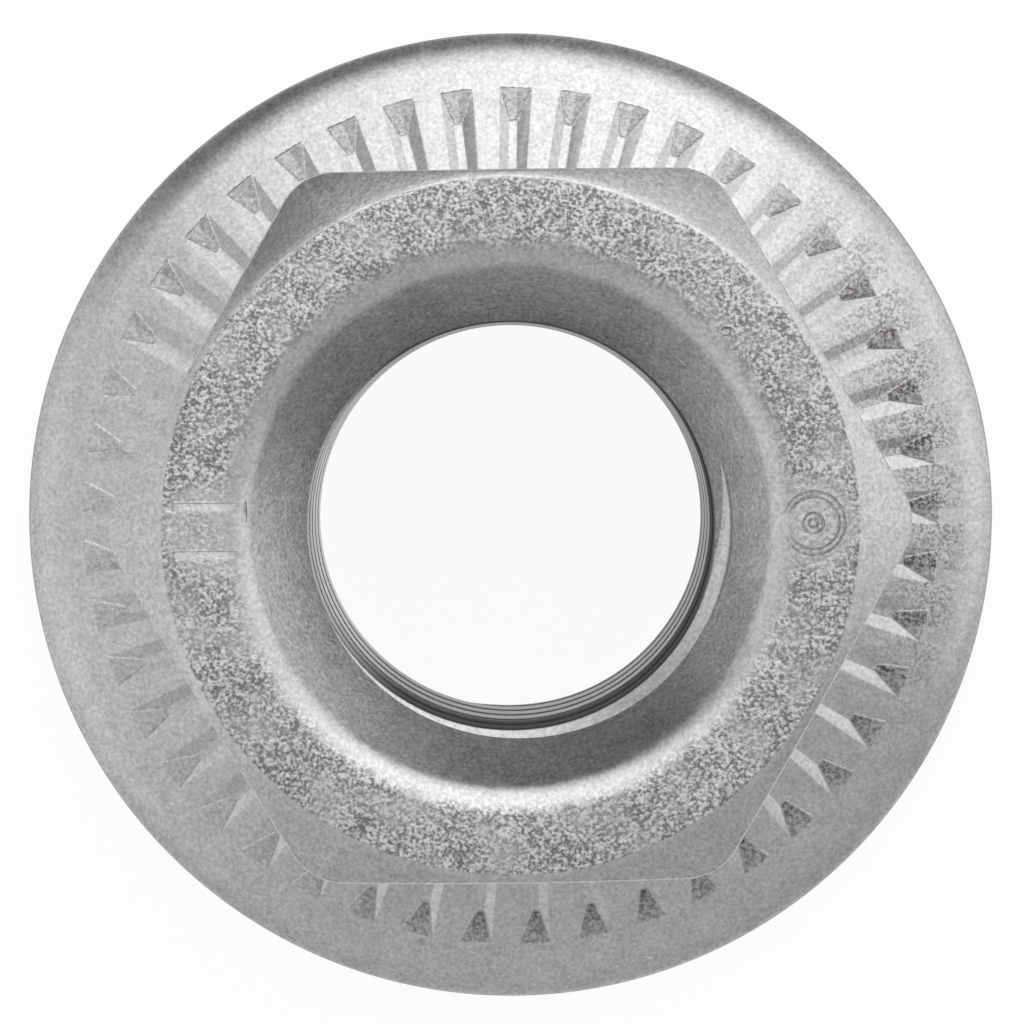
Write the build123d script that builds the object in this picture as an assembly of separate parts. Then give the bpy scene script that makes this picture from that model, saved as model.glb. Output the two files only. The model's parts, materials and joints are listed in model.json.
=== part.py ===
from build123d import *
import math
import os

# Serrated hexagon flange nut for an M10 x 1.5 thread: one cold-forged steel solid.
# Frame: the origin is the centre of the bearing face, and +Z runs along the thread's
# axis towards the hexagon, whose corners lie on X. Sizes are in millimetres and degrees.

# Hexagon
nut_height = 9.8
width_across_flats = 14.85
hexagon_corner_radius = 1.1
crown_rim_width = 0.17        # chamfer left at the middle of each flat
crown_slope = 30.0            # of the chamfer on the hexagon's corners, from the level

# Flange
flange_diameter = 21.7
flange_rim_height = 1.2       # of the rim's upper corner, unrounded
flange_slope = 18.0           # of the flange's top, from the level
rim_bevel_width = 0.45        # of the steeper band between the top and the rim
rim_bevel_slope = 38.0        # of that band, from the level
rim_shoulder_radius = 1.7     # where the top bends down into the band
rim_top_radius = 0.15
rim_base_radius = 0.5

# Bore, left at the thread's minor diameter
bore_diameter = 8.6
funnel_mouth_diameter = 11.3
funnel_slope = 45.0           # of the funnel in the hexagon's end, from the level
funnel_lip_radius = 0.9
countersink_mouth_diameter = 10.6
countersink_slope = 45.0      # of the countersink in the bearing face, from the level

# Serration: a ring of coined pockets in the flange's top. Each has a steep wall on its
# anticlockwise side, a shallow one on its clockwise side and a ramp at its outer end.
pocket_count = 45
pocket_phase = 0.5            # angle of the first pocket from +X
pocket_depth = 0.10           # square to the flange's top
pocket_rim_gap = 1.28         # from the flange's rim to the pockets' outer ends
pocket_mouth_angle = 4.25     # width of a pocket's mouth, seen from the axis
pocket_floor_width = 0.18
pocket_floor_shift = 0.06     # of the floor towards the steep wall
pocket_ramp_length = 0.75     # along the slope, from the floor to the outer end

# Extra length that a cutting tool runs past the surface it opens
TOOL_OVERRUN = 0.3


def turned(points, radii=None):
    """The solid that a closed outline of (radius, height) points makes around Z.

    radii holds the rounding radius of each point that has one.
    """
    outline = make_face(Polyline(*points, close=True))
    for point, radius in (radii or {}).items():
        corner = outline.vertices().sort_by_distance((*point, 0))[0]
        outline = fillet(corner, radius)
    return revolve(Plane.XZ * outline, Axis.Z)


def rim_shoulder():
    """The unrounded corner between the sloping top and the rim's bevel."""
    rise = rim_bevel_width * math.tan(math.radians(rim_bevel_slope))
    return flange_diameter / 2 - rim_bevel_width, flange_rim_height + rise


def sloping_top(radius):
    """Height of the flange's sloping top at a distance from the axis."""
    shoulder_radius, shoulder_height = rim_shoulder()
    run = shoulder_radius - radius
    return shoulder_height + run * math.tan(math.radians(flange_slope))


def flange_blank():
    """The turned flange, up to where its slope meets the bore, with a rounded rim."""
    rim = flange_diameter / 2
    inner = bore_diameter / 2
    return turned(
        [
            (0, 0),
            (rim, 0),
            (rim, flange_rim_height),
            rim_shoulder(),
            (inner, sloping_top(inner)),
            (0, sloping_top(inner)),
        ],
        {
            (rim, 0): rim_base_radius,
            (rim, flange_rim_height): rim_top_radius,
            rim_shoulder(): rim_shoulder_radius,
        },
    )


def pocket_outline(height):
    """A pocket's outline at a height over the flange's top, in the plane of its slope.

    The plane's origin is the tip of the cone that the sloping top belongs to. Its x
    runs outwards down the slope and its y anticlockwise.
    """
    share = -height / pocket_depth
    incline = math.cos(math.radians(flange_slope))
    inner = (bore_diameter / 2) / incline
    outer = (flange_diameter / 2 - pocket_rim_gap) / incline - pocket_ramp_length * share
    spread = math.tan(math.radians(pocket_mouth_angle / 2)) * incline
    points = []
    for x, side in ((inner, -1), (outer, -1), (outer, 1), (inner, 1)):
        mouth_y = side * spread * x
        floor_y = side * pocket_floor_width / 2 + pocket_floor_shift
        points.append((x, mouth_y + (floor_y - mouth_y) * share))
    return Wire.make_polygon([Vector(x, y, height) for x, y in points], close=True)


def pocket_tool():
    """The punch that coins one pocket, over the +X axis, standing clear of the slope."""
    punch = Solid.make_loft(
        [pocket_outline(-pocket_depth), pocket_outline(TOOL_OVERRUN)], ruled=True)
    cone_tip = sloping_top(0)
    return Pos(0, 0, cone_tip) * Rot(0, flange_slope, 0) * punch


def hexagon():
    """The hexagon from the bearing face up, its corners chamfered by the crown's cone."""
    half_width = width_across_flats / 2
    outline = RegularPolygon(half_width, 6, major_radius=False)
    outline = fillet(outline.vertices(), hexagon_corner_radius)
    prism = extrude(outline, nut_height)
    crown_radius = half_width - crown_rim_width
    reach = half_width * 2 / math.sqrt(3) + TOOL_OVERRUN
    drop = (reach - crown_radius) * math.tan(math.radians(crown_slope))
    crown = turned([
        (0, 0),
        (reach, 0),
        (reach, nut_height - drop),
        (crown_radius, nut_height),
        (0, nut_height),
    ])
    return prism & crown


def bore_tool():
    """The cutter for the bore, the funnel above it and the countersink below it."""
    bore = bore_diameter / 2
    above = nut_height + TOOL_OVERRUN
    funnel_rise = math.tan(math.radians(funnel_slope))
    funnel = funnel_mouth_diameter / 2
    countersink_rise = math.tan(math.radians(countersink_slope))
    countersink = countersink_mouth_diameter / 2
    return turned([
        (0, -TOOL_OVERRUN),
        (countersink + TOOL_OVERRUN / countersink_rise, -TOOL_OVERRUN),
        (bore, (countersink - bore) * countersink_rise),
        (bore, nut_height - (funnel - bore) * funnel_rise),
        (funnel + TOOL_OVERRUN / funnel_rise, above),
        (0, above),
    ])


def flange_nut():
    """The whole nut."""
    flange = flange_blank()
    punch = pocket_tool()
    pitch = 360 / pocket_count
    flange -= [Rot(0, 0, pocket_phase + pitch * i) * punch for i in range(pocket_count)]
    nut = flange + hexagon() - bore_tool()
    lip = nut.edges().filter_by(GeomType.CIRCLE).group_by(Axis.Z)[-1].sort_by(
        lambda edge: edge.radius)[0]
    return fillet(lip, funnel_lip_radius)


os.makedirs("parts", exist_ok=True)
export_step(flange_nut(), "parts/flange_nut.step")
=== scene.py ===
import json
import math
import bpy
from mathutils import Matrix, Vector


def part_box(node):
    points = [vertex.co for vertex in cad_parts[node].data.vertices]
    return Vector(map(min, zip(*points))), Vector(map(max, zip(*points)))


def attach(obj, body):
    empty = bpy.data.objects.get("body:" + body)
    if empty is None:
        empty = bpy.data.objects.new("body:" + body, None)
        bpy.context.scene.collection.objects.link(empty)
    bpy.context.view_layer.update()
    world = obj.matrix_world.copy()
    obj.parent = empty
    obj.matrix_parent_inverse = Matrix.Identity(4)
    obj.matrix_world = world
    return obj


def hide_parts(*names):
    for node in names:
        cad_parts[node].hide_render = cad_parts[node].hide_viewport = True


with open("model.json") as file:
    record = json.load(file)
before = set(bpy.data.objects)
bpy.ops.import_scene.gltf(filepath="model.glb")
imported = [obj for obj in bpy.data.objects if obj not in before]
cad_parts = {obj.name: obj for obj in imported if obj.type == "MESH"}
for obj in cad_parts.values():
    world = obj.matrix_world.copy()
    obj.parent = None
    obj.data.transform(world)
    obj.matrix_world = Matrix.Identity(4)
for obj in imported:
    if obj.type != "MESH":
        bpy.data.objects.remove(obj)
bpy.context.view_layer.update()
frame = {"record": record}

from types import SimpleNamespace

import bmesh
import bpy
from bpy.props import FloatProperty, FloatVectorProperty, IntProperty, PointerProperty
from mathutils import Matrix, Vector

bl_info = {
    "name": "Serrated flange nut",
    "version": (1, 0, 0),
    "blender": (4, 5, 0),
    "location": "View3D > Sidebar > Flange nut",
    "description": "Forges, taps and plates a serrated hexagon flange nut, and lights it for a portrait",
    "category": "Object",
}

NUT_NODE = "flange_nut"
NUT_BODY = "root"

MM = 0.001
NUT_LOW, NUT_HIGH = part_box(NUT_NODE)
THREAD_MOUNT = next(m for m in frame["record"]["mounts"] if m["name"] == "thread")


# ---------------------------------------------------------------------------
# Sizes and finishes that a user can change
# ---------------------------------------------------------------------------

def length(name, description, millimetres):
    """A length property, given its default in millimetres."""
    return FloatProperty(name=name, description=description, default=millimetres * MM,
                         min=0.0, precision=5, unit="LENGTH")


def angle(name, description, degrees):
    """An angle property, given its default in degrees."""
    return FloatProperty(name=name, description=description, default=math.radians(degrees),
                         min=0.0, max=math.radians(89), subtype="ANGLE")


def colour(name, description, default):
    """A colour property."""
    return FloatVectorProperty(name=name, description=description, size=4, default=default,
                               min=0.0, max=1.0, subtype="COLOR")


class NutSizes(bpy.types.PropertyGroup):
    """The nut's real sizes."""

    height: length("Height", "From the bearing face to the hexagon's end",
                   (NUT_HIGH[2] - NUT_LOW[2]) / MM)
    flange_diameter: length("Flange diameter", "Across the flange's rim",
                            (NUT_HIGH[0] - NUT_LOW[0]) / MM)
    rim_height: length("Rim height", "Of the rim's upper corner, unrounded", 1.2)
    flange_slope: angle("Flange slope", "Of the flange's top, from the level", 18)
    bevel_width: length("Bevel width", "Of the steeper band between top and rim", 0.45)
    bevel_slope: angle("Bevel slope", "Of that band, from the level", 38)
    shoulder_radius: length("Shoulder radius", "Where the top bends into the band", 1.7)
    rim_top_radius: length("Rim top radius", "Rounding of the rim's upper corner", 0.15)
    rim_base_radius: length("Rim base radius", "Rounding of the rim's lower edge", 0.5)

    across_flats: length("Across flats", "The hexagon's width for a wrench", 14.85)
    corner_radius: length("Corner radius", "Rounding of the hexagon's upright corners", 1.1)
    crown_rim: length("Crown rim", "Chamfer left at the middle of each flat", 0.17)
    crown_slope: angle("Crown slope", "Of the chamfered corners, from the level", 30)
    crown_softness: length("Crown softness", "Rounding of the end face's outer edge", 0.2)

    funnel_mouth: length("Funnel mouth", "Diameter of the funnel in the hexagon's end", 11.3)
    funnel_lip: length("Funnel lip", "Rounding of the funnel's lip", 0.9)
    countersink_mouth: length("Countersink mouth", "Diameter in the bearing face", 10.6)

    bore_diameter: length("Bore diameter", "At the thread's crests",
                          2 * THREAD_MOUNT["dims"]["r_mm"])
    thread_diameter: length("Thread diameter", "At the thread's roots", 9.3)
    thread_pitch: length("Thread pitch", "Rise of the thread in one turn", 1.5)
    thread_turn: angle("Thread turn", "Turn of the thread about the axis", 60)

    pocket_count: IntProperty(name="Pockets", description="Pockets round the flange",
                              default=45, min=3)
    pocket_phase: angle("Pocket phase", "Angle of the first pocket", 0.5)
    pocket_depth: length("Pocket depth", "Square to the flange's top", 0.10)
    pocket_rim_gap: length("Pocket rim gap", "From the rim to the pockets' outer ends", 1.28)
    pocket_mouth: angle("Pocket mouth", "Width of a pocket seen from the axis", 4.25)
    pocket_floor: length("Pocket floor", "Width of a pocket's flat floor", 0.18)
    pocket_shift: length("Pocket shift", "Of the floor towards the steep wall", 0.06)
    pocket_ramp: length("Pocket ramp", "Length of the ramp at a pocket's outer end", 0.75)

    mark_size: length("Mark size", "Height of the plain marks struck in the end face", 1.5)
    mark_depth: length("Mark depth", "Of the marks' strokes", 0.09)

    zinc_colour: colour("Zinc colour", "Of the bare plate", (0.525, 0.513, 0.51, 1))
    # the soot colour also paints the shade on the sides away from the light, at the rim's outline and in
    # the bore
    soot_and_shade_colour: colour("Soot colour", "Of the dark film in the bore and the pits",
                        (0.10, 0.09, 0.105, 1))
    # the bright colour also paints the highlight on the marks' bar strokes
    bright_colour: colour("Bright colour", "Of the grain's bright points", (0.74, 0.735, 0.73, 1))


class StageSizes(bpy.types.PropertyGroup):
    """The floor, the lights and the camera."""

    floor_size: length("Floor size", "Width of the floor", 600)
    floor_colour: colour("Floor colour", "Of the floor", (0.8, 0.8, 0.8, 1))
    floor_shadow: FloatProperty(name="Floor shadow", default=0.06, min=0, max=1,
                                description="Share of the lit colour in the floor that is seen")
    camera_tilt: angle("Camera tilt", "Lean of the camera off the nut's axis", 1.5)
    camera_turn: angle("Camera turn", "Turn of the camera about its own axis", 0.75)
    camera_distance: length("Camera distance", "From the bearing face", 109.3)
    camera_field: length("Camera field", "Width of view at the bearing face", 23.32)
    camera_aim: FloatVectorProperty(name="Camera aim", description="Point on the bearing face",
                                    size=2, default=(0.034 * MM, 0.055 * MM), unit="LENGTH",
                                    precision=5)


def bench_sizes(context):
    """The nut's sizes in millimetres and radians, for work on the bench."""
    sizes = context.scene.nut_sizes
    values = {}
    for name in NutSizes.__annotations__:
        value = getattr(sizes, name)
        is_length = sizes.bl_rna.properties[name].unit == "LENGTH"
        values[name] = value / MM if is_length else value
    return SimpleNamespace(**values)


# ---------------------------------------------------------------------------
# Bench tools
#
# Blender's mesh tools merge and bevel with tolerances meant for things a metre
# across, so the nut is worked a thousand times life size, one unit to the
# millimetre, and shrunk to metres when it is done.
# ---------------------------------------------------------------------------

ROUND_STEPS = 360          # facets round the turned surfaces, one a degree
MERGE_DISTANCE = 0.0002
OVERRUN = 1.0              # how far a tool stands clear of what it cuts
SMOOTH_UP_TO = math.radians(12)
HALF_SIDE = math.radians(30)           # half of a hexagon's side, seen from its middle


def start_edit():
    """Edit mode on the active object, with nothing selected."""
    bpy.ops.object.mode_set(mode="EDIT")
    bpy.ops.mesh.select_mode(type="VERT")
    bpy.ops.mesh.select_all(action="DESELECT")


def end_edit():
    """Back to object mode."""
    bpy.ops.object.mode_set(mode="OBJECT")


def only(piece):
    """Makes one object the selected and active one."""
    bpy.ops.object.select_all(action="DESELECT")
    piece.select_set(True)
    bpy.context.view_layer.objects.active = piece


def added(name):
    """Names the primitive that was just added."""
    piece = bpy.context.object
    piece.name = name
    piece.data.name = name
    return piece


def pick(elements, test):
    """In edit mode, selects just those "verts", "edges" or "faces" that pass a test."""
    bpy.ops.mesh.select_mode(type=elements[:-1].upper())
    bpy.ops.mesh.select_all(action="DESELECT")
    mesh = bpy.context.object.data
    shape = bmesh.from_edit_mesh(mesh)
    shape.normal_update()
    found = [element for element in getattr(shape, elements) if test(element)]
    if not found:
        raise RuntimeError(f"none of the {elements} of {mesh.name} is where it should be")
    for element in found:
        element.select_set(True)
    shape.select_flush_mode()
    bmesh.update_edit_mesh(mesh)


def push(vector):
    """In edit mode, moves what is selected."""
    bpy.ops.transform.translate(value=vector)


def off_the_bench(piece, name):
    """Shrinks a finished piece to metres and smooths its shading over all but its edges."""
    only(piece)
    piece.name = name
    piece.data.name = name
    piece.scale = (MM, MM, MM)
    bpy.ops.object.transform_apply(location=True, rotation=True, scale=True)
    bpy.ops.object.shade_smooth_by_angle(angle=SMOOTH_UP_TO, keep_sharp_edges=True)
    weighted = piece.modifiers.new("Weighted", "WEIGHTED_NORMAL")
    weighted.keep_sharp = True
    weighted.weight = 90
    bpy.ops.object.modifier_apply(modifier=weighted.name)


def draw_line(name, corners):
    """A chain of edges through (radius, height) corners, drawn by extruding a vertex."""
    bpy.ops.mesh.primitive_plane_add(size=1)
    line = added(name)
    start_edit()
    bpy.ops.mesh.select_all(action="SELECT")
    bpy.ops.mesh.merge(type="CENTER")
    last_x, last_z = corners[0]
    push((last_x, 0, last_z))
    for x, z in corners[1:]:
        bpy.ops.mesh.extrude_region_move(
            TRANSFORM_OT_translate={"value": (x - last_x, 0, z - last_z)})
        last_x, last_z = x, z
    end_edit()
    return line


def draw_outline(name, corners):
    """The same chain, closed and filled."""
    loop = draw_line(name, corners)
    start_edit()
    bpy.ops.mesh.select_all(action="SELECT")
    bpy.ops.mesh.edge_face_add()
    end_edit()
    return loop


def round_off(loop, corner, radius, segments):
    """Rounds an outline's corner to a radius."""
    x, z = corner
    only(loop)
    start_edit()
    nearest = min((Vector((x, 0, z)) - v.co).length for v in loop.data.vertices)
    pick("verts", lambda v: (v.co - Vector((x, 0, z))).length <= nearest + MERGE_DISTANCE)
    shape = bmesh.from_edit_mesh(loop.data)
    vertex = next(v for v in shape.verts if v.select)
    arms = [edge.other_vert(vertex).co - vertex.co for edge in vertex.link_edges]
    turn = math.pi - arms[0].angle(arms[1])
    bpy.ops.mesh.bevel(offset=radius * math.tan(turn / 2), offset_type="OFFSET",
                       segments=segments, affect="VERTICES", clamp_overlap=False)
    end_edit()


def turn_solid(loop):
    """Spins an outline round Z into a closed solid."""
    only(loop)
    start_edit()
    bpy.ops.mesh.select_all(action="SELECT")
    bpy.ops.mesh.delete(type="ONLY_FACE")
    bpy.ops.mesh.select_all(action="SELECT")
    bpy.ops.mesh.spin(steps=ROUND_STEPS, angle=math.tau, center=(0, 0, 0), axis=(0, 0, 1))
    clean_up()
    end_edit()
    return loop


def clean_up():
    """In edit mode, merges doubles and points every face outwards."""
    bpy.ops.mesh.select_all(action="SELECT")
    bpy.ops.mesh.remove_doubles(threshold=MERGE_DISTANCE)
    bpy.ops.mesh.normals_make_consistent(inside=False)


def combine(piece, tool, operation):
    """Applies a Boolean of one solid with another, and throws the other away."""
    only(piece)
    boolean = piece.modifiers.new(operation.title(), "BOOLEAN")
    boolean.operation = operation
    boolean.object = tool
    boolean.solver = "EXACT"
    bpy.ops.object.modifier_apply(modifier=boolean.name)
    bpy.data.objects.remove(tool)
    if not piece.data.polygons:
        raise RuntimeError(f"nothing is left of {piece.name} after the {operation.lower()}")
    return piece


def join_all(pieces, name):
    """Joins several tools that stand clear of each other into one."""
    only(pieces[0])
    for piece in pieces[1:]:
        piece.select_set(True)
    bpy.ops.object.join()
    return added(name)


# ---------------------------------------------------------------------------
# The nut's parts
# ---------------------------------------------------------------------------

# How far the two forgings reach inside the thread's crests, to be tapped away. They differ,
# so that no face of one lies in a face of the other.
FLANGE_STOCK = 0.7
CROWN_STOCK = 0.5

# How far a punch stands above the slope, as a share of the pockets' depth. The punches flare,
# and much taller ones would run into each other.
PUNCH_HEADROOM = 0.6

COUNTERSINK_ROUNDING = 0.2
HEXAGON_TRIM = 0.1         # how far the bar reaches below the turned crown, which trims it
CROWN_EDGE = 0.05          # rounding where the chamfer meets the hexagon's walls
POCKET_EDGE = 0.02         # width of the eased edge round a pocket's mouth
FLOOR_EDGE = 0.015         # the same along a pocket's floor
CREST_ROUNDING = 0.08
ROOT_ROUNDING = 0.1
THREAD_STEPS = 120         # facets in a turn of the thread
THREAD_FLANK = math.radians(30)


def rim_shoulder(s):
    """The unrounded corner between the flange's sloping top and its rim's bevel."""
    rise = s.bevel_width * math.tan(s.bevel_slope)
    return s.flange_diameter / 2 - s.bevel_width, s.rim_height + rise


def slope_height(s, radius):
    """Height of the flange's sloping top at a distance from the axis."""
    shoulder, height = rim_shoulder(s)
    return height + (shoulder - radius) * math.tan(s.flange_slope)


def funnel_foot(s):
    """Height at which the funnel's cone would meet the bore."""
    return s.height - (s.funnel_mouth - s.bore_diameter) / 2


def mark_place(s):
    """Distance of the marks' middles from the axis, a little inside the end face's middle."""
    return (s.funnel_mouth + s.across_flats) / 4 - 0.25


def turned_flange(s):
    """The flange as a ring, with a rounded rim and a countersunk bearing face."""
    rim = s.flange_diameter / 2
    sink = s.countersink_mouth / 2
    inner = s.bore_diameter / 2 - FLANGE_STOCK
    loop = draw_outline("flange", [
        (inner, sink - inner),
        (sink, 0),
        (rim, 0),
        (rim, s.rim_height),
        rim_shoulder(s),
        (inner, slope_height(s, inner)),
    ])
    round_off(loop, rim_shoulder(s), s.shoulder_radius, 10)
    round_off(loop, (rim, s.rim_height), s.rim_top_radius, 5)
    round_off(loop, (rim, 0), s.rim_base_radius, 8)
    round_off(loop, (sink, 0), COUNTERSINK_ROUNDING, 4)
    return turn_solid(loop)


def turned_crown(s):
    """The hexagon's end as a turned ring: funnel, end face and chamfer."""
    reach = s.across_flats / math.sqrt(3) + OVERRUN
    face = s.across_flats / 2 - s.crown_rim
    drop = (reach - face) * math.tan(s.crown_slope)
    mouth = s.funnel_mouth / 2
    inner = s.bore_diameter / 2 - CROWN_STOCK
    low = s.rim_height / 2
    loop = draw_outline("crown", [
        (inner, low),
        (reach, low),
        (reach, s.height - drop),
        (face, s.height),
        (mouth, s.height),
        (inner, s.height - (mouth - inner)),
    ])
    round_off(loop, (face, s.height), s.crown_softness, 5)
    round_off(loop, (mouth, s.height), s.funnel_lip, 14)
    return turn_solid(loop)


def hexagon_bar(s):
    """A length of hexagon bar with rounded upright corners, two of them on X."""
    low = s.rim_height / 2 - HEXAGON_TRIM
    high = s.height + OVERRUN
    bpy.ops.mesh.primitive_cylinder_add(
        vertices=6, radius=s.across_flats / math.sqrt(3), depth=high - low,
        location=(0, 0, (high + low) / 2), rotation=(0, 0, HALF_SIDE))
    bar = added("hexagon")
    bpy.ops.object.transform_apply(location=True, rotation=True, scale=True)
    start_edit()
    pick("edges", lambda e: abs(e.verts[0].co.z - e.verts[1].co.z) > OVERRUN)
    bpy.ops.mesh.bevel(offset=s.corner_radius * math.tan(HALF_SIDE),
                       segments=12, affect="EDGES", clamp_overlap=False)
    end_edit()
    return bar


def soften_crown(bar, s):
    """Rounds the edges where the chamfer meets the hexagon's walls."""
    only(bar)
    start_edit()

    def on_crown_edge(edge):
        tilts = sorted(abs(face.normal.z) for face in edge.link_faces)
        return edge.verts[0].co.z > s.height / 2 and tilts[0] < 0.1 and tilts[-1] > 0.5

    pick("edges", on_crown_edge)
    bpy.ops.mesh.bevel(offset=CROWN_EDGE, segments=5, affect="EDGES", clamp_overlap=False)
    clean_up()
    end_edit()


def pocket_punch(s):
    """The punch for one pocket, over +X: a cube whose corners are pushed into place.

    It is shaped on a level plane whose origin is the tip of the flange's cone, and then
    tilted and dropped to the slope.
    """
    incline = math.cos(s.flange_slope)
    inner = (s.bore_diameter / 2) / incline
    outer = (s.flange_diameter / 2 - s.pocket_rim_gap) / incline
    spread = math.tan(s.pocket_mouth / 2) * incline
    bpy.ops.mesh.primitive_cube_add(size=2)
    punch = added("punch")
    corners = [v.co.copy() for v in punch.data.vertices]
    start_edit()
    for corner in corners:
        side_x, side_y, side_z = corner
        height = -s.pocket_depth if side_z < 0 else PUNCH_HEADROOM * s.pocket_depth
        share = -height / s.pocket_depth
        x = inner if side_x < 0 else outer - s.pocket_ramp * share
        mouth_y = side_y * spread * (inner if side_x < 0 else x)
        floor_y = side_y * s.pocket_floor / 2 + s.pocket_shift
        place = Vector((x, mouth_y + (floor_y - mouth_y) * share, height))
        pick("verts", lambda v: (v.co - corner).length < MERGE_DISTANCE)
        push(place - corner)
    # the floor's edges get a radius, but not where the floor meets the ramp
    pick("edges", lambda e: all(v.co.z < -s.pocket_depth + MERGE_DISTANCE for v in e.verts)
         and min(v.co.x for v in e.verts) < outer - s.pocket_ramp - MERGE_DISTANCE)
    bpy.ops.mesh.bevel(offset=FLOOR_EDGE, segments=2, affect="EDGES")
    end_edit()
    punch.rotation_euler.y = s.flange_slope
    punch.location.z = slope_height(s, 0)
    bpy.ops.object.transform_apply(location=True, rotation=True)
    return punch


def ring_of_punches(s):
    """The whole ring of punches, turned to the first pocket's place."""
    ring = pocket_punch(s)
    only(ring)
    start_edit()
    bpy.ops.mesh.select_all(action="SELECT")
    turned = math.tau * (s.pocket_count - 1) / s.pocket_count
    bpy.ops.mesh.spin(dupli=True, steps=s.pocket_count - 1, angle=turned,
                      center=(0, 0, 0), axis=(0, 0, 1))
    end_edit()
    ring.rotation_euler.z = s.pocket_phase
    bpy.ops.object.transform_apply(rotation=True)
    return ring


def coin_pockets(flange, s):
    """Strikes the ring of pockets into the flange's top and eases their mouths."""
    combine(flange, ring_of_punches(s), "DIFFERENCE")
    only(flange)
    start_edit()

    def below_slope(point):
        radius = math.hypot(point.x, point.y)
        return (slope_height(s, radius) - point.z) * math.cos(s.flange_slope)

    def on_mouth(edge):
        near = s.pocket_depth / 10
        if any(abs(below_slope(v.co)) > near for v in edge.verts):
            return False
        depths = sorted(below_slope(f.calc_center_median()) for f in edge.link_faces)
        return depths[0] < near and depths[-1] > 2 * near

    pick("edges", on_mouth)
    bpy.ops.mesh.bevel(offset=POCKET_EDGE, segments=2, affect="EDGES", clamp_overlap=True)
    end_edit()


def thread_tap(s):
    """A tap: one pitch of the thread's profile, screwed up the axis and cut to length."""
    crest = s.bore_diameter / 2
    root = s.thread_diameter / 2
    flank = (root - crest) * math.tan(THREAD_FLANK)
    root_flat = s.thread_pitch / 8
    crest_flat = s.thread_pitch - root_flat - 2 * flank
    start = s.height + s.thread_pitch
    corners = [
        (crest, start),
        (crest, start + crest_flat / 2),
        (root, start + crest_flat / 2 + flank),
        (root, start + crest_flat / 2 + flank + root_flat),
        (crest, start + s.thread_pitch - crest_flat / 2),
        (crest, start + s.thread_pitch),
    ]
    tap = draw_line("tap", corners)
    for corner in (corners[1], corners[4]):
        round_off(tap, corner, CREST_ROUNDING, 2)
    for corner in (corners[2], corners[3]):
        round_off(tap, corner, ROOT_ROUNDING, 2)
    only(tap)
    start_edit()
    bpy.ops.mesh.select_all(action="SELECT")
    turns = math.ceil(s.height / s.thread_pitch) + 4
    # the operator works its way downwards, so a right-hand thread turns about -Z
    bpy.ops.mesh.screw(steps=THREAD_STEPS, turns=turns, center=(0, 0, 0), axis=(0, 0, -1))
    bpy.ops.mesh.select_all(action="SELECT")
    bpy.ops.mesh.remove_doubles(threshold=MERGE_DISTANCE)
    for height, way in ((-OVERRUN / 2, -1), (s.height + OVERRUN / 2, 1)):
        bpy.ops.mesh.select_all(action="SELECT")
        bpy.ops.mesh.bisect(plane_co=(0, 0, height), plane_no=(0, 0, way),
                            use_fill=True, clear_outer=True)
    clean_up()
    end_edit()
    tap.rotation_euler.z = s.thread_turn
    bpy.ops.object.transform_apply(rotation=True)
    return tap


def mark_bar(x, y, across, up, s):
    """A chamfered bar that sinks a stroke of a mark into the end face."""
    bpy.ops.mesh.primitive_cube_add(size=1, location=(x, y, s.height))
    bar = added("bar")
    bar.scale = (across, up, 2 * s.mark_depth)
    bpy.ops.object.transform_apply(location=True, scale=True)
    start_edit()
    pick("faces", lambda f: f.normal.z < -0.5)
    bpy.ops.transform.resize(value=(1 - s.mark_depth / across, 1 - s.mark_depth / up, 1))
    end_edit()
    return bar


def mark_ring(x, y, radius, width, s):
    """A round section bent into a ring, that sinks a circular stroke into the end face."""
    bpy.ops.mesh.primitive_torus_add(
        location=(x, y, s.height), major_radius=radius, minor_radius=width / 2,
        major_segments=48, minor_segments=10)
    ring = added("ring")
    bpy.ops.object.transform_apply(location=True)
    return ring


def mark_dies(s):
    """The dies of two plain marks: a pair of bars on one side, a ring and a dot on the other."""
    middle = mark_place(s)
    bar_width = s.mark_size / 7
    ring_width = s.mark_size / 9
    bars = [mark_bar(-middle, side * s.mark_size / 3, s.mark_size, bar_width, s)
            for side in (-1, 1)]
    rings = [mark_ring(middle, 0, share * s.mark_size, ring_width, s) for share in (0.4, 0.1)]
    return join_all(bars + rings, "marks")


# Knocks and scratches in the finished nut: the place seen along the axis, the length and the
# width, all in millimetres, the way they run in degrees, and the depth as a share of the width.
KNOCKS = [
    (4.52, 4.00, 0.24, 0.20, 20, 0.30),       # the pit beside the funnel
    (-5.50, 0.35, 0.55, 0.09, 90, 0.60),      # the slit in the funnel's lip
    (3.55, 3.45, 0.50, 0.035, 140, 0.25),     # scratches down the funnel
    (4.00, 2.55, 0.32, 0.035, 62, 0.25),
    (4.28, 2.55, 0.32, 0.035, 118, 0.25),
    (4.55, 1.90, 0.30, 0.030, 75, 0.25),
    (-2.50, -9.06, 0.30, 0.045, -15, 0.45),   # the crack at the pockets' outer ends
    (-2.26, -9.24, 0.24, 0.050, -60, 0.55),
    (-2.08, -9.52, 0.22, 0.055, -58, 0.55),
    (-1.88, -9.68, 0.12, 0.050, 0, 0.45),
    (-2.74, -9.28, 0.20, 0.030, -50, 0.40),
    (1.55, -10.28, 0.16, 0.10, 20, 0.30),     # dents along the rim
    (1.95, -10.20, 0.22, 0.12, 35, 0.30),
    (2.30, -10.14, 0.20, 0.12, 10, 0.30),
    (2.62, -10.06, 0.18, 0.10, 50, 0.30),
    (2.98, -9.96, 0.30, 0.07, -20, 0.35),
    (1.20, -10.36, 0.14, 0.09, 0, 0.30),
    (-0.30, -10.30, 0.16, 0.10, 80, 0.25),
    (3.75, -9.62, 0.16, 0.08, 30, 0.30),
]


ABOVE_ALL = 20             # a height above the whole nut
PROUD = 0.15               # how far a drop is lifted, as a share of its depth


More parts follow.
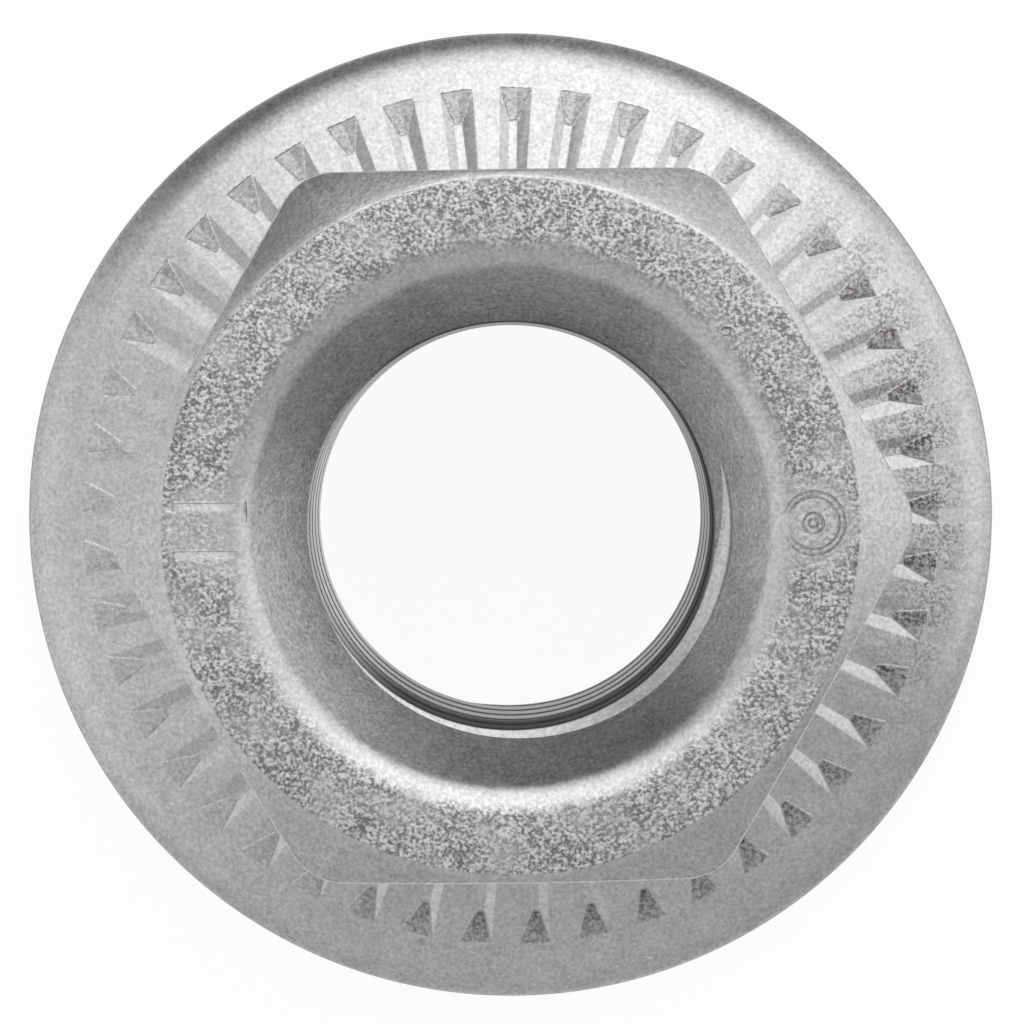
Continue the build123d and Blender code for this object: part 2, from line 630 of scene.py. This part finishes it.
def knock(nut, x, y, long, wide, heading, share):
    """A long drop of metal to be cut from the nut's surface at a place seen from above."""
    hit, place, normal, _ = nut.ray_cast(Vector((x, y, ABOVE_ALL)), Vector((0, 0, -1)))
    if not hit:
        raise RuntimeError(f"there is no metal to knock at {x}, {y}")
    way = Vector((math.cos(math.radians(heading)), math.sin(math.radians(heading)), 0))
    along = (way - normal * way.dot(normal)).normalized()
    turn = Matrix((along, normal.cross(along), normal)).transposed()
    bpy.ops.mesh.primitive_uv_sphere_add(segments=16, ring_count=8, radius=0.5)
    drop = added("drop")
    drop.scale = (long, wide, 2 * share * wide)
    drop.rotation_euler = turn.to_euler()
    # lifted a little, or the ring of points round its middle would lie in the surface
    drop.location = place + normal * PROUD * share * wide
    bpy.ops.object.transform_apply(location=True, rotation=True, scale=True)
    return drop


def knock_about(nut):
    """Leaves the knocks and scratches in the nut."""
    drops = [knock(nut, *numbers) for numbers in KNOCKS]
    combine(nut, join_all(drops, "drops"), "DIFFERENCE")


def mend_mesh(nut):
    """Closes the pinholes that the cuts leave, and takes out the faces without an area."""
    only(nut)
    start_edit()
    clean_up()
    bpy.ops.mesh.select_all(action="SELECT")
    bpy.ops.mesh.dissolve_degenerate(threshold=MERGE_DISTANCE)
    bpy.ops.mesh.select_all(action="SELECT")
    bpy.ops.mesh.fill_holes(sides=8)
    clean_up()
    end_edit()


def keep_thread_edges(nut, s):
    """Keeps a crisp edge where the thread leaves the funnel at a slight angle."""
    only(nut)
    start_edit()

    bore = s.bore_diameter / 2
    least_bend = math.radians(10)

    def on_runout(edge):
        middle = (edge.verts[0].co + edge.verts[1].co) / 2
        near = bore - 0.1 < math.hypot(middle.x, middle.y) < bore + 0.8
        return (near and middle.z > funnel_foot(s) - 1.15 and len(edge.link_faces) == 2
                and edge.calc_face_angle() > least_bend)

    pick("edges", on_runout)
    bpy.ops.mesh.mark_sharp()
    end_edit()


# ---------------------------------------------------------------------------
# Finishes
# ---------------------------------------------------------------------------

class Wire:
    """A socket that takes part in arithmetic, adding Maths nodes as it goes."""

    def __init__(self, finish, socket):
        self.finish = finish
        self.socket = socket

    def _maths(self, operation, first, second):
        return self.finish.maths(operation, first, second)

    def __add__(self, other):
        return self._maths("ADD", self, other)

    def __sub__(self, other):
        return self._maths("SUBTRACT", self, other)

    def __rsub__(self, other):
        return self._maths("SUBTRACT", other, self)

    def __mul__(self, other):
        return self._maths("MULTIPLY", self, other)

    def __truediv__(self, other):
        return self._maths("DIVIDE", self, other)

    def __pow__(self, other):
        return self._maths("POWER", self, other)

    __radd__ = __add__
    __rmul__ = __mul__


class Finish:
    """A node tree under construction."""

    def __init__(self, tree):
        self.tree = tree
        tree.nodes.clear()

    def node(self, kind, settings=None, inputs=None, output=0):
        """Adds a node with its settings, feeds its sockets, and gives back one output."""
        made = self.tree.nodes.new(kind)
        for key, value in (settings or {}).items():
            setattr(made, key, value)
        for key, value in (inputs or {}).items():
            if isinstance(value, Wire):
                self.tree.links.new(value.socket, made.inputs[key])
            else:
                made.inputs[key].default_value = value
        return Wire(self, made.outputs[output])

    def maths(self, operation, first, second=0.0):
        """A Maths node on one or two values."""
        return self.node("ShaderNodeMath", {"operation": operation}, {0: first, 1: second})

    def step(self, value, low, high):
        """0 below low, 1 above high, and a smooth rise between."""
        return self.node("ShaderNodeMapRange",
                         {"interpolation_type": "SMOOTHSTEP", "clamp": True},
                         {"Value": value, "From Min": low, "From Max": high})

    def band(self, value, low, high, soft):
        """1 between low and high, with smooth sides that end there."""
        return self.step(value, low, low + soft) * (1 - self.step(value, high - soft, high))

    def blend(self, mask, first, second):
        """A colour that goes from the first to the second with a mask."""
        return self.node("ShaderNodeMix", {"data_type": "RGBA"},
                         {0: mask, 6: first, 7: second}, output=2)

    def shade(self, colour, share):
        """A colour with each of its parts multiplied by a share."""
        return self.node("ShaderNodeVectorMath", {"operation": "SCALE"},
                         {0: colour, "Scale": share})

    def noise(self, place, size, detail=2.0, roughness=0.5):
        """Noise whose lumps are about a given size across."""
        return self.node("ShaderNodeTexNoise", {},
                         {"Vector": place, "Scale": 1 / size, "Detail": detail,
                          "Roughness": roughness})

    def close(self, kind, shader):
        """Puts the finished shader on the tree's output."""
        made = self.tree.nodes.new(kind)
        self.tree.links.new(shader.socket, made.inputs["Surface"])


def new_material(name):
    """A new material and the finish to build in it."""
    material = bpy.data.materials.new(name)
    material.use_nodes = True
    return material, Finish(material.node_tree)


# How dark the soot and the painted shade lie on each part of the nut, from 0 for bare zinc to 1 for the
# soot colour alone. The entries for the backs of the crown, the ramps and the walls, the ramps' shaded
# side and the rim's outline are painted shade. Those of the bore are soot and painted shade. The
# funnel's front entry darkens the funnel towards the front.
SOOT_AND_SHADE = SimpleNamespace(
    grain=0.80, crown_grain=0.16, crown_back_shade=0.14,
    funnel=0.12, funnel_clouds=0.20, funnel_grain=1.1, funnel_front=0.12,
    bore=0.50, bore_top=0.45,
    ramp=0.10, ramp_back_shade=0.18, ramp_shaded=0.60, wall_back_shade=0.26,
    dust=0.62, specks=0.16, rim_outline_shade=0.55)

# How much the plate's own brightness varies with each pattern, and how far painted shade darkens it at
# the rim, more at the back.
WEAR_AND_SHADE = SimpleNamespace(skin=0.34, fine=0.95, cloud=0.18, rim=0.10, rim_back_shade=0.22)

ROUGHNESS = SimpleNamespace(plate=0.33, cloud=0.08, skin=0.10, grain=0.10, ramp=0.12,
                            bore=0.10, bore_top=0.45, dust=0.06)

# Heights of the relief, in millimetres.
RELIEF = SimpleNamespace(grain=0.016, crown=0.004, funnel=0.004, dust=0.010,
                         fine=0.0015, ramp=0.006, ripple=0.028, skin=0.008)


def toward(x, y, degrees):
    """How far a place lies along a heading, counted from +X."""
    heading = math.radians(degrees)
    return x * math.cos(heading) + y * math.sin(heading)


def plate_patterns(f, place):
    """The patterns of the plate, from the salt-like grain to broad clouds.

    The last, in millimetres, makes the edges of the soot and the dust wander.
    """
    skin = f.noise(place, 0.45, 4.0, 0.6)
    return SimpleNamespace(
        salt=0.80 * f.noise(place, 0.075, 1.5, 0.6) + 0.20 * f.noise(place, 0.30, 2.0, 0.6),
        fine=f.noise(place, 0.09, 2.0, 0.6),
        spots=f.noise(place, 0.13, 2.0, 0.6),
        skin=skin,
        patches=f.noise(place, 0.9, 2.0, 0.5),
        cloud=f.noise(place, 2.2, 3.0, 0.55),
        wander=(skin - 0.5) * 0.35)


def head_places(f, s, x, y, z, radius, look):
    """Masks of the end face, the chamfered corners, the funnel and the bore."""
    on = SimpleNamespace()
    reach = radius + look.wander
    half_face = s.across_flats / 2 - s.crown_rim
    face = (f.step(z, s.height - 0.35, s.height - 0.12) * f.step(reach, 5.60, 6.10)
            * (1 - f.step(radius + 0.2 * look.wander, half_face - 0.03, half_face + 0.02)))

    # the grain thins out in patches and round the marks
    from_mark = ((f.maths("ABSOLUTE", x) - mark_place(s)) ** 2.0 + y * y) ** 0.5
    calm = 1 - f.step(from_mark + look.wander, 0.75, 1.15)
    patches = f.step(look.patches, 0.32, 0.55)
    on.grain = face * (0.55 + 0.45 * patches) * (1 - 0.6 * calm)
    on.calm = calm * face
    # a painted highlight on the two bar strokes of the mark on the left, where the grain is calm
    from_bar = f.maths("ABSOLUTE", f.maths("ABSOLUTE", y) - s.mark_size / 3)
    on.bars = on.calm * calm * (1 - f.step(from_bar, 0.05, 0.15)) * (1 - f.step(x, -1.0, 0.0))

    below_crown = s.height - (radius - half_face) * math.tan(s.crown_slope) - z
    on.crown = (f.step(radius, half_face + 0.02, half_face + 0.14)
                * f.band(below_crown, -0.3, 0.12, 0.06))

    foot = funnel_foot(s)
    bore = s.bore_diameter / 2
    root = s.thread_diameter / 2
    below_cone = s.height - s.funnel_mouth / 2 + radius - z
    on.funnel = (f.step(z, foot - 0.25, foot - 0.05) * (1 - f.step(reach, 5.3, 5.55))
                 * (1 - f.step(below_cone, 0.02, 0.05)))
    thread = ((1 - f.step(z, foot - 0.75, foot - 0.45))
              * (1 - f.step(radius, root + 0.05, root + 0.25)))
    crests = ((1 - f.step(z, foot - 0.10, foot + 0.05))
              * (1 - f.step(radius, bore + 0.02, bore + 0.06)))
    # painted light: the bore's dark film is thinned on its left side, where the light falls
    lit_left = 1 - f.step(x, -4.0, -2.2)
    on.bore = f.maths("MAXIMUM", thread, crests) * (1 - 0.8 * lit_left)
    # painted shade, darker towards the top of the bore
    on.bore_top = f.step(z, foot - 3.25, foot - 2.25)
    return on


def flange_places(f, s, x, y, z, radius, look):
    """Masks of the flange's top, its pockets and its rim."""
    on = SimpleNamespace()
    rim = s.flange_diameter / 2
    above_slope = z + radius * math.tan(s.flange_slope) - slope_height(s, 0)
    top = f.band(above_slope, -0.45, 0.08, 0.05)

    # each pocket's ramp, from its narrow inner end to its wide outer one
    pitch = math.tau / s.pocket_count
    outer = rim - s.pocket_rim_gap
    inner = outer - s.pocket_ramp * math.cos(s.flange_slope)
    turn = f.maths("ARCTAN2", y, x)
    lap = f.maths("FRACT", (turn - s.pocket_phase) / pitch + (s.pocket_count + 0.5))
    across = (lap - 0.5) * pitch * radius
    along = (radius - inner) / (outer - inner)
    mouth_tangent = math.tan(s.pocket_mouth / 2)
    floor = s.pocket_floor / 2
    half = floor + along * (mouth_tangent * outer - floor)
    off = f.maths("ABSOLUTE", across - s.pocket_shift * (1 - along))
    frayed = (look.fine - 0.5) * 0.10
    on.ramp = (f.step(half - off + frayed, -0.03, 0.05) * f.step(along + frayed, -0.06, 0.04)
               * (1 - f.step(along + frayed, 0.98, 1.06)) * top)
    on.ramp_along = along

    # the pockets' shallow walls, which the dust spares and which get painted shade at the back
    shallow = (f.step(mouth_tangent * radius - f.maths("ABSOLUTE", across), -0.03, 0.02)
               * f.step(s.pocket_shift - across, floor - 0.03, floor))
    on.wall = shallow * top * (1 - f.step(radius, outer - 0.04, outer))
    near_pockets = 1 - f.step(radius + look.wander, outer + 0.15, outer + 0.95)
    dusty_side = f.step(toward(x, y, 10) + 3 * look.wander, 6.6, 9.6)
    on.dust = top * near_pockets * (0.12 + 0.88 * dusty_side) * (1 - 0.85 * shallow)

    on.specks = f.step(look.spots, 0.60, 0.72) * top * f.step(radius, 7.0, 7.5)
    # painted shade: a band just inside the rim, the rim's outline, and more of the band at the back (+Y)
    on.rim = top * f.step(radius, rim - 0.33, rim - 0.13)
    on.rim_outline_shade = top * f.step(radius, rim - 0.05, rim - 0.005)
    on.rim_back_shade = top * f.step(radius, rim - 0.50, rim - 0.20) * f.step(y, 5.0, 8.5)

    # a fine ripple across each ramp
    across_ramp = f.node("ShaderNodeCombineXYZ", {}, {0: radius / 0.10, 1: turn * 22.0})
    on.ripple = on.ramp * f.noise(across_ramp, 1.0)
    return on


def soot_and_painted_shade(f, y, look, head, flange, shaded):
    """The share of soot and of painted shade over the whole nut."""
    worn_ramp = 0.55 + 0.7 * (1 - f.step(look.fine, 0.36, 0.62))
    coarse = 1 - f.step(look.salt, 0.38, 0.56)
    return (
        head.grain * (1 - f.step(look.salt, 0.37, 0.60)) * SOOT_AND_SHADE.grain
        # the crown's coarse grain, and painted shade on its chamfered corners at the back (+Y)
        + head.crown * (coarse * SOOT_AND_SHADE.crown_grain + SOOT_AND_SHADE.crown_back_shade * f.step(y, 4.0, 6.0))
        + head.funnel * (SOOT_AND_SHADE.funnel + SOOT_AND_SHADE.funnel_clouds * f.step(look.cloud, 0.40, 0.65)
                         + SOOT_AND_SHADE.funnel_grain * (0.5 - look.salt)
                         + SOOT_AND_SHADE.funnel_front * (1 - f.step(y, -3.5, -1.0)))
        # soot and painted shade in the bore, darker at its top and lighter on its left
        + head.bore * (SOOT_AND_SHADE.bore + SOOT_AND_SHADE.bore_top * head.bore_top)
        # the ramps' soot, darker towards their inner ends, with painted shade at the back (+Y) and on
        # the shaded side towards -40 degrees
        + (flange.ramp * (SOOT_AND_SHADE.ramp + SOOT_AND_SHADE.ramp_back_shade * f.step(y, 2.0, 6.0)
                          + SOOT_AND_SHADE.ramp_shaded * shaded)
           * (1.1 - 0.5 * flange.ramp_along) * worn_ramp)
        # painted shade on the pockets' shallow walls at the back (+Y)
        + flange.wall * f.step(y, 1.0, 5.0) * SOOT_AND_SHADE.wall_back_shade
        + flange.dust * coarse * SOOT_AND_SHADE.dust
        + flange.specks * SOOT_AND_SHADE.specks
        # painted shade along the rim's outer outline
        + flange.rim_outline_shade * SOOT_AND_SHADE.rim_outline_shade)


def zinc_plate(s):
    """Zinc over forged and coined steel: coarse on the end face, dark with soot and painted shade in the
    bore, with painted shade and a painted highlight in a few places.

    Its places and sizes are in millimetres, like the bench's.
    """
    material, f = new_material("zinc_plate")
    metres = f.node("ShaderNodeTexCoord", output="Object")
    place = f.node("ShaderNodeVectorMath", {"operation": "SCALE"}, {0: metres, "Scale": 1 / MM})
    x, y, z = (f.node("ShaderNodeSeparateXYZ", {}, {0: place}, output=axis) for axis in "XYZ")
    radius = (x * x + y * y) ** 0.5
    look = plate_patterns(f, place)
    head = head_places(f, s, x, y, z, radius, look)
    flange = flange_places(f, s, x, y, z, radius, look)

    # the side of the nut towards -40 degrees, where the ramps get painted shade
    shaded = f.step(toward(x, y, -40), -0.9, 6.7)
    dark = soot_and_painted_shade(f, y, look, head, flange, shaded)
    # lighter colour: the grain's bright points, lighter patches round the marks, and a painted highlight
    # on the bar strokes
    light = (head.grain * f.step(look.salt, 0.52, 0.68) * 0.6
             + head.calm * f.step(look.fine, 0.52, 0.66) * 0.5 + head.bars)
    # the plate's own tone, with painted shade at the rim, more at the back
    worn_and_rim_shade = f.shade(s.zinc_colour[:3],
                   1.0 + WEAR_AND_SHADE.skin * (look.skin - 0.5) + WEAR_AND_SHADE.fine * (look.fine - 0.5)
                   + WEAR_AND_SHADE.cloud * (look.cloud - 0.5)
                   - WEAR_AND_SHADE.rim * flange.rim - WEAR_AND_SHADE.rim_back_shade * flange.rim_back_shade)
    plate = f.blend(dark, f.blend(light, worn_and_rim_shade, s.bright_colour), s.soot_and_shade_colour)

    rough = (ROUGHNESS.plate + ROUGHNESS.cloud * (look.cloud - 0.5)
             + ROUGHNESS.skin * (look.skin - 0.5)
             + ROUGHNESS.grain * head.grain + ROUGHNESS.ramp * flange.ramp
             + head.bore * (ROUGHNESS.bore + ROUGHNESS.bore_top * head.bore_top)
             + ROUGHNESS.dust * flange.dust)
    relief = (look.salt * (RELIEF.grain * head.grain + RELIEF.crown * head.crown
                           + RELIEF.funnel * head.funnel + RELIEF.dust * flange.dust)
              + look.fine * (RELIEF.fine + RELIEF.ramp * flange.ramp)
              + RELIEF.ripple * flange.ripple
              + RELIEF.skin * look.skin)
    bump = f.node("ShaderNodeBump", {}, {"Strength": 1.0, "Distance": MM, "Height": relief})
    f.close("ShaderNodeOutputMaterial", f.node("ShaderNodeBsdfPrincipled", {}, {
        "Base Color": plate, "Metallic": 1.0, "Roughness": rough, "Normal": bump}))
    return material


# ---------------------------------------------------------------------------
# Stage
# ---------------------------------------------------------------------------

def pale_floor(stage):
    """A plain floor, near white where it is seen, that keeps the nut's shadow."""
    bpy.ops.mesh.primitive_plane_add(size=stage.floor_size)
    floor = added("floor")
    material, f = new_material("pale_floor")
    camera = f.node("ShaderNodeLightPath", output="Is Camera Ray")
    glossy = f.node("ShaderNodeLightPath", output="Is Glossy Ray")
    clear = f.node("ShaderNodeLightPath", output="Is Transmission Ray")
    seen = (camera + glossy + clear) * (1 - stage.floor_shadow)
    paint = f.node("ShaderNodeBsdfDiffuse", {}, {"Color": stage.floor_colour})
    white = f.node("ShaderNodeEmission", {}, {"Color": (1, 1, 1, 1), "Strength": 1.0})
    mixed = f.node("ShaderNodeMixShader", {}, {0: seen, 1: paint, 2: white})
    f.close("ShaderNodeOutputMaterial", mixed)
    floor.data.materials.append(material)


ROOM_GREY = 0.5

# Soft lights of the studio: how far off the zenith and round from +X each one is centred, in
# degrees, the half-widths at which it is full and gone, and what it adds to the room's grey.
SOFT_LIGHTS = {
    "key": (36, 88, 14, 40, 1.6),
    "right": (68, 18, 12, 45, 0.82),
    "left": (68, 185, 10, 50, 0.52),
    "front": (40, 262, 10, 60, 0.15),
    "dark cloth": (72, 108, 14, 46, -0.32),
}


def studio_light():
    """A grey room with a bright soft light beyond the nut and dimmer ones at its sides."""
    world = bpy.data.worlds.new("studio")
    bpy.context.scene.world = world
    world.use_nodes = True
    f = Finish(world.node_tree)
    way = f.node("ShaderNodeTexCoord", output="Generated")
    level = ROOM_GREY
    for off_zenith, round_x, full, gone, strength in SOFT_LIGHTS.values():
        tilt, turn = math.radians(off_zenith), math.radians(round_x)
        centre = (math.sin(tilt) * math.cos(turn), math.sin(tilt) * math.sin(turn),
                  math.cos(tilt))
        nearness = f.node("ShaderNodeVectorMath", {"operation": "DOT_PRODUCT"},
                          {0: way, 1: centre}, output="Value")
        level = level + strength * f.step(nearness, math.cos(math.radians(gone)),
                                          math.cos(math.radians(full)))
    f.close("ShaderNodeOutputWorld",
            f.node("ShaderNodeBackground", {}, {"Color": (1, 1, 1, 1), "Strength": level}))


def set_camera(context, stage):
    """The camera almost straight above, leaning a little and turned a little."""
    bpy.ops.object.camera_add()
    camera = context.object
    camera.name = "camera"
    camera.rotation_euler = (-stage.camera_tilt, 0, -stage.camera_turn)
    away = camera.rotation_euler.to_matrix() @ Vector((0, 0, 1))
    aim = Vector((stage.camera_aim[0], stage.camera_aim[1], 0))
    camera.location = aim + away * stage.camera_distance
    camera.data.sensor_width = 36
    camera.data.lens = camera.data.sensor_width * stage.camera_distance / stage.camera_field
    camera.data.clip_start = 0.01
    camera.data.clip_end = 10
    context.scene.camera = camera


# ---------------------------------------------------------------------------
# Operators
# ---------------------------------------------------------------------------

class NutForge(bpy.types.Operator):
    """Forge, tap and plate the flange nut in the place of the plain solid"""
    bl_idname = "nut.forge"
    bl_label = "Forge the nut"
    bl_options = {"REGISTER", "UNDO"}

    def execute(self, context):
        s = bench_sizes(context)
        flange = turned_flange(s)
        coin_pockets(flange, s)
        nut = combine(hexagon_bar(s), turned_crown(s), "INTERSECT")
        soften_crown(nut, s)
        combine(nut, flange, "UNION")
        combine(nut, thread_tap(s), "DIFFERENCE")
        combine(nut, mark_dies(s), "DIFFERENCE")
        knock_about(nut)
        mend_mesh(nut)
        keep_thread_edges(nut, s)
        off_the_bench(nut, "forged_nut")
        nut.data.materials.clear()
        nut.data.materials.append(zinc_plate(s))
        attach(nut, NUT_BODY)
        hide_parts(NUT_NODE)
        return {"FINISHED"}


class NutStage(bpy.types.Operator):
    """Lay the pale floor and set the lights and the camera"""
    bl_idname = "nut.stage"
    bl_label = "Set the stage"
    bl_options = {"REGISTER", "UNDO"}

    def execute(self, context):
        stage = context.scene.nut_stage
        pale_floor(stage)
        studio_light()
        set_camera(context, stage)
        context.scene.view_settings.view_transform = "Standard"
        return {"FINISHED"}


class NutPanel(bpy.types.Panel):
    """The nut's operators and sizes, in the sidebar"""
    bl_idname = "VIEW3D_PT_flange_nut"
    bl_label = "Flange nut"
    bl_space_type = "VIEW_3D"
    bl_region_type = "UI"
    bl_category = "Flange nut"

    def draw(self, context):
        layout = self.layout
        for operator in (NutForge, NutStage):
            layout.operator(operator.bl_idname)
        for group in (context.scene.nut_sizes, context.scene.nut_stage):
            box = layout.box()
            for name in group.__annotations__:
                box.prop(group, name)


CLASSES = (NutSizes, StageSizes, NutForge, NutStage, NutPanel)


def register():
    for each in CLASSES:
        bpy.utils.register_class(each)
    bpy.types.Scene.nut_sizes = PointerProperty(type=NutSizes)
    bpy.types.Scene.nut_stage = PointerProperty(type=StageSizes)


def unregister():
    del bpy.types.Scene.nut_stage
    del bpy.types.Scene.nut_sizes
    for each in reversed(CLASSES):
        bpy.utils.unregister_class(each)


def main():
    register()
    bpy.ops.nut.forge()
    bpy.ops.nut.stage()


if __name__ == "__main__":
    main()
